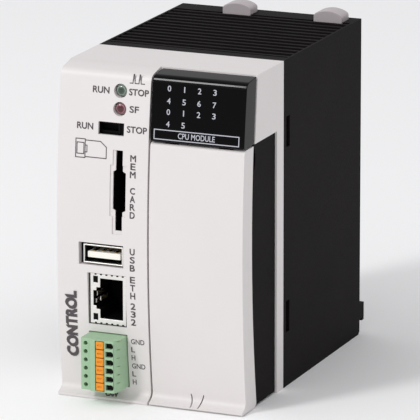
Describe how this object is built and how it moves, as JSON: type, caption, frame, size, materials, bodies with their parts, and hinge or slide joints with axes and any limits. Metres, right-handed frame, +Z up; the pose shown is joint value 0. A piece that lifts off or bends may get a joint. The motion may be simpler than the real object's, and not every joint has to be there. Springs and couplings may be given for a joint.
{
  "type": "plc processor module",
  "caption": "Rack-mounted processor module of a modular controller: black ribbed case, light bezel with ports, switch and lamps, display window and hinged wiring door.",
  "frame": {"origin": "centre of the overall box at the base, so the module stands on z = 0", "axes": "+X towards the module's right side seen from the front, +Y towards the rack behind it, +Z up"},
  "size_m": [0.0592, 0.1042, 0.1032],
  "materials": {
    "case_black": "fine moulded texture",
    "bezel_light_grey": "fine satin moulding",
    "window_black": "polished",
    "latch_grey": "satin moulding",
    "plug_green": "satin moulding",
    "lever_orange": "satin moulding",
    "board_green": "solder resist",
    "moulding_black": "moulded",
    "moulding_grey": "moulded",
    "moulding_white": "moulded",
    "card_paper": "printed card",
    "lens_green": "clear moulding",
    "lens_red": "clear moulding",
    "tinned_sheet": "tinned",
    "steel_plated": "zinc plated",
    "sleeve_blue": "shrink sleeve"
  },
  "bodies": {
    "root": {"rear_case": "case_black", "front_bezel": "bezel_light_grey", "terminal_carrier": "case_black", "terminal_block": "moulding_grey", "terminal_header": "moulding_black", "terminal_screw_1": "steel_plated", "terminal_screw_2": "steel_plated", "io_board": "board_green", "display_window": "window_black", "display_board": "board_green", "display_light_mask": "moulding_black", "status_led_green": "lens_green", "status_led_red": "lens_red", "led_holder": "moulding_black", "mode_switch_body": "moulding_black", "card_socket": "moulding_black", "usb_shell": "tinned_sheet", "usb_tongue": "moulding_white", "ethernet_shield": "tinned_sheet", "ethernet_insert": "moulding_black", "can_header": "plug_green", "main_board": "board_green", "processor": "moulding_black", "power_board": "board_green", "power_transformer": "moulding_grey", "capacitor_1": "sleeve_blue", "capacitor_2": "sleeve_blue", "bus_connector": "moulding_black", "battery": "sleeve_blue", "battery_holder": "moulding_black", "latch_spring_left": "steel_plated", "latch_spring_right": "steel_plated"},
    "door": {"door": "bezel_light_grey", "door_hinge_pin": "steel_plated", "label_card": "card_paper"},
    "mode_switch_lever": {"mode_switch_lever": "moulding_black"},
    "can_plug": {"can_plug": "plug_green"},
    "battery_cover": {"battery_cover": "case_black"},
    "module_latch_left": {"module_latch_left": "latch_grey"},
    "module_latch_right": {"module_latch_right": "latch_grey"},
    "can_lever_1": {"can_lever_1": "lever_orange"},
    "can_lever_2": {"can_lever_2": "lever_orange"},
    "can_lever_3": {"can_lever_3": "lever_orange"},
    "can_lever_4": {"can_lever_4": "lever_orange"},
    "can_lever_5": {"can_lever_5": "lever_orange"},
    "can_lever_6": {"can_lever_6": "lever_orange"}
  },
  "joints": [
    {"name": "door_hinge", "type": "hinge", "parent": "root", "child": "door", "pos_m": [0.0146, -0.04125, 0.0753], "axis": [-1, 0, 0], "range_deg": [0, 95]},
    {"name": "mode_switch_slide", "type": "slide", "parent": "root", "child": "mode_switch_lever", "axis": [1, 0, 0], "range_m": [-0.0059, 0]},
    {"name": "can_plug_pull", "type": "slide", "parent": "root", "child": "can_plug", "axis": [0, -1, 0], "range_m": [0, 0.018]},
    {"name": "battery_cover_pull", "type": "slide", "parent": "root", "child": "battery_cover", "axis": [-1, 0, 0], "range_m": [0, 0.01]},
    {"name": "module_latch_left_press", "type": "slide", "parent": "root", "child": "module_latch_left", "axis": [0, 0, -1], "range_m": [0, 0.0025], "stiffness_N_per_m": 600, "springref_m": -0.004, "deforming": ["latch_spring_left"]},
    {"name": "module_latch_right_press", "type": "slide", "parent": "root", "child": "module_latch_right", "axis": [0, 0, -1], "range_m": [0, 0.0025], "stiffness_N_per_m": 600, "springref_m": -0.004, "deforming": ["latch_spring_right"]},
    {"name": "can_lever_1_press", "type": "slide", "parent": "can_plug", "child": "can_lever_1", "axis": [0, 1, 0], "range_m": [0, 0.001], "stiffness_N_per_m": 400, "springref_m": -0.002},
    {"name": "can_lever_2_press", "type": "slide", "parent": "can_plug", "child": "can_lever_2", "axis": [0, 1, 0], "range_m": [0, 0.001], "stiffness_N_per_m": 400, "springref_m": -0.002},
    {"name": "can_lever_3_press", "type": "slide", "parent": "can_plug", "child": "can_lever_3", "axis": [0, 1, 0], "range_m": [0, 0.001], "stiffness_N_per_m": 400, "springref_m": -0.002},
    {"name": "can_lever_4_press", "type": "slide", "parent": "can_plug", "child": "can_lever_4", "axis": [0, 1, 0], "range_m": [0, 0.001], "stiffness_N_per_m": 400, "springref_m": -0.002},
    {"name": "can_lever_5_press", "type": "slide", "parent": "can_plug", "child": "can_lever_5", "axis": [0, 1, 0], "range_m": [0, 0.001], "stiffness_N_per_m": 400, "springref_m": -0.002},
    {"name": "can_lever_6_press", "type": "slide", "parent": "can_plug", "child": "can_lever_6", "axis": [0, 1, 0], "range_m": [0, 0.001], "stiffness_N_per_m": 400, "springref_m": -0.002}
  ]
}
